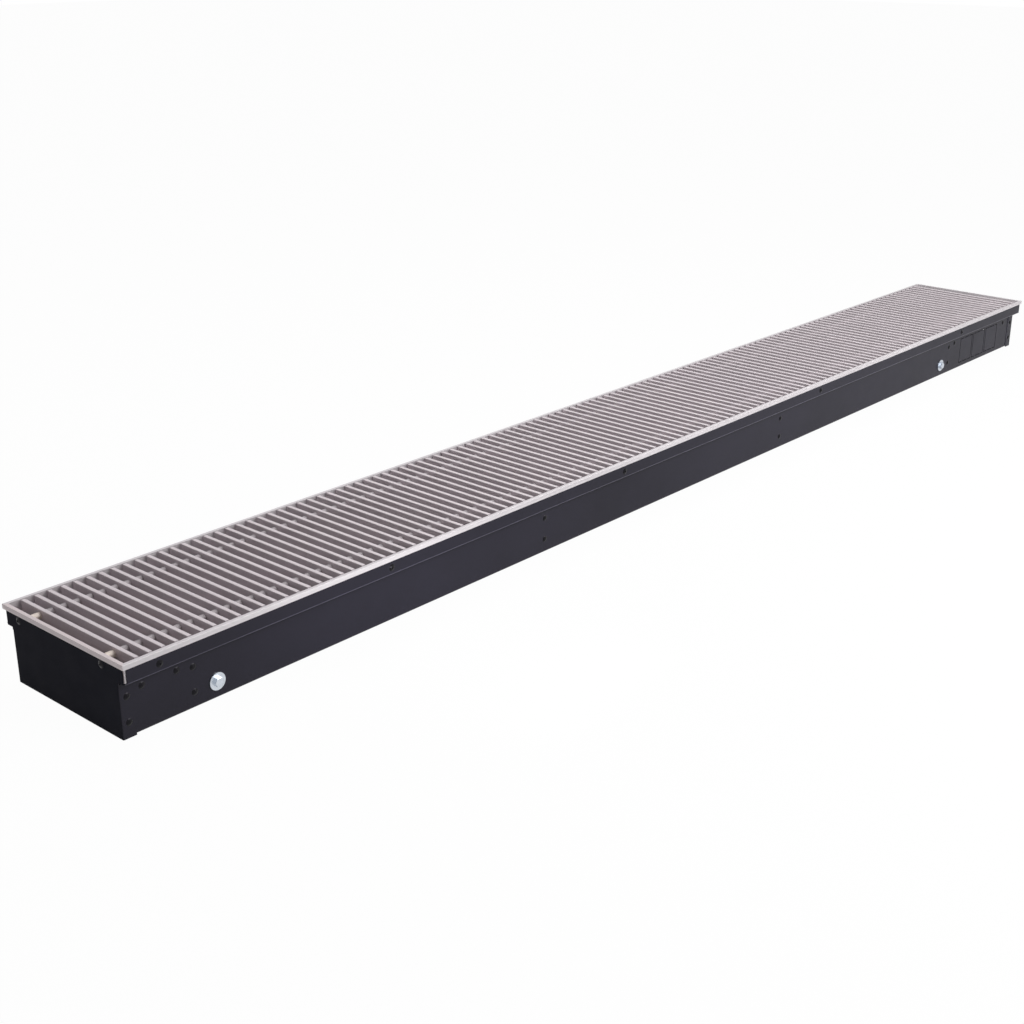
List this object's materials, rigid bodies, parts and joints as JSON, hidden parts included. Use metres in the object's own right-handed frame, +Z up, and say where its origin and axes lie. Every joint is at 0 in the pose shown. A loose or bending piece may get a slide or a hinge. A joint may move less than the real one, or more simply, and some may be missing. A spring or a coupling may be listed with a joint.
{
  "type": "trench convector heater",
  "caption": "Floor-trench convector: folded steel channel with a finned copper heat exchanger inside, an aluminium top frame and a roll-up grille of cross slats.",
  "frame": {"origin": "middle of the channel's underside", "axes": "+X along the heater to the end where the pipes enter, +Y to the back wall, +Z up to the grille"},
  "size_m": [2, 0.215, 0.0875],
  "materials": {
    "black_sheet": "black powder coat, low gloss",
    "frame_aluminium": "satin anodised",
    "slat_aluminium": "satin anodised",
    "bracket_steel": "galvanised sheet",
    "black_fastener": "blackened",
    "black_rubber": "matte",
    "zinc_steel": "bright zinc plated",
    "copper": "drawn copper tube",
    "fin_aluminium": "mill finish foil",
    "brass": "machined brass",
    "cap_brass": "satin brass",
    "rod_steel": "bright steel"
  },
  "bodies": {
    "casing": {"channel": "black_sheet", "end_plate_blind": "black_sheet", "end_plate_pipe": "black_sheet", "frame_rail_front": "frame_aluminium", "frame_rail_back": "frame_aluminium", "frame_rail_blind": "frame_aluminium", "frame_rail_pipe": "frame_aluminium", "frame_screws": "black_fastener", "rest_strip_front": "black_rubber", "rest_strip_back": "black_rubber", "blind_rivets": "black_fastener", "tube_bracket_1": "bracket_steel", "tube_bracket_2": "bracket_steel", "tube_bracket_3": "bracket_steel", "tube_bracket_4": "bracket_steel", "bracket_liners": "black_rubber", "cross_tie_1": "bracket_steel", "cross_tie_2": "bracket_steel", "cross_tie_3": "bracket_steel", "cross_tie_4": "bracket_steel", "foot_bolts": "zinc_steel", "foot_washers": "zinc_steel", "foot_nuts": "zinc_steel", "knockouts_front": "black_sheet", "knockouts_back": "black_sheet", "knockouts_end": "black_sheet", "supply_tube": "copper", "return_tube": "copper", "return_bend": "copper", "fin_pack_1": "fin_aluminium", "fin_pack_2": "fin_aluminium", "fin_pack_3": "fin_aluminium", "supply_union": "brass", "return_union": "brass", "vent_body": "brass"},
    "grille": {"grille_slats": "slat_aluminium", "grille_sleeves": "slat_aluminium", "grille_rod_front": "rod_steel", "grille_rod_back": "rod_steel", "grille_rod_caps": "cap_brass"},
    "roll_link_1": {"roll_slat_1": "slat_aluminium", "roll_joiners_1": "slat_aluminium", "roll_caps": "cap_brass"},
    "roll_link_2": {"roll_slat_2": "slat_aluminium", "roll_joiners_2": "slat_aluminium"},
    "roll_link_3": {"roll_slat_3": "slat_aluminium", "roll_joiners_3": "slat_aluminium"},
    "roll_link_4": {"roll_slat_4": "slat_aluminium", "roll_joiners_4": "slat_aluminium"},
    "roll_link_5": {"roll_slat_5": "slat_aluminium", "roll_joiners_5": "slat_aluminium"},
    "roll_link_6": {"roll_slat_6": "slat_aluminium", "roll_joiners_6": "slat_aluminium"},
    "roll_link_7": {"roll_slat_7": "slat_aluminium", "roll_joiners_7": "slat_aluminium"},
    "roll_link_8": {"roll_slat_8": "slat_aluminium", "roll_joiners_8": "slat_aluminium"},
    "roll_link_9": {"roll_slat_9": "slat_aluminium", "roll_joiners_9": "slat_aluminium"},
    "bleed_screw": {"bleed_screw": "brass"}
  },
  "joints": [
    {"name": "grille_lift", "type": "slide", "parent": "casing", "child": "grille", "axis": [0, 0, 1], "range_m": [0, 0.12]},
    {"name": "bleed_screw_turn", "type": "hinge", "parent": "casing", "child": "bleed_screw", "pos_m": [0.778, -0.03, 0.0567], "axis": [0, 0, 1], "range_deg": [0, 360]},
    {"name": "roll_9", "type": "hinge", "parent": "grille", "child": "roll_link_9", "pos_m": [-0.8384, 0, 0.0825], "axis": [0, 1, 0], "range_deg": [0, 13]},
    {"name": "roll_8", "type": "hinge", "parent": "roll_link_9", "child": "roll_link_8", "pos_m": [-0.8543, 0, 0.0825], "axis": [0, 1, 0], "range_deg": [0, 13]},
    {"name": "roll_7", "type": "hinge", "parent": "roll_link_8", "child": "roll_link_7", "pos_m": [-0.8702, 0, 0.0825], "axis": [0, 1, 0], "range_deg": [0, 13]},
    {"name": "roll_6", "type": "hinge", "parent": "roll_link_7", "child": "roll_link_6", "pos_m": [-0.8861, 0, 0.0825], "axis": [0, 1, 0], "range_deg": [0, 13]},
    {"name": "roll_5", "type": "hinge", "parent": "roll_link_6", "child": "roll_link_5", "pos_m": [-0.902, 0, 0.0825], "axis": [0, 1, 0], "range_deg": [0, 13]},
    {"name": "roll_4", "type": "hinge", "parent": "roll_link_5", "child": "roll_link_4", "pos_m": [-0.9179, 0, 0.0825], "axis": [0, 1, 0], "range_deg": [0, 13]},
    {"name": "roll_3", "type": "hinge", "parent": "roll_link_4", "child": "roll_link_3", "pos_m": [-0.9338, 0, 0.0825], "axis": [0, 1, 0], "range_deg": [0, 13]},
    {"name": "roll_2", "type": "hinge", "parent": "roll_link_3", "child": "roll_link_2", "pos_m": [-0.9497, 0, 0.0825], "axis": [0, 1, 0], "range_deg": [0, 13]},
    {"name": "roll_1", "type": "hinge", "parent": "roll_link_2", "child": "roll_link_1", "pos_m": [-0.9656, 0, 0.0825], "axis": [0, 1, 0], "range_deg": [0, 13]}
  ],
  "couplings": [
    {"joint": "roll_8", "follows": "roll_9", "ratio": 1},
    {"joint": "roll_7", "follows": "roll_9", "ratio": 1},
    {"joint": "roll_6", "follows": "roll_9", "ratio": 1},
    {"joint": "roll_5", "follows": "roll_9", "ratio": 1},
    {"joint": "roll_4", "follows": "roll_9", "ratio": 1},
    {"joint": "roll_3", "follows": "roll_9", "ratio": 1},
    {"joint": "roll_2", "follows": "roll_9", "ratio": 1},
    {"joint": "roll_1", "follows": "roll_9", "ratio": 1}
  ]
}
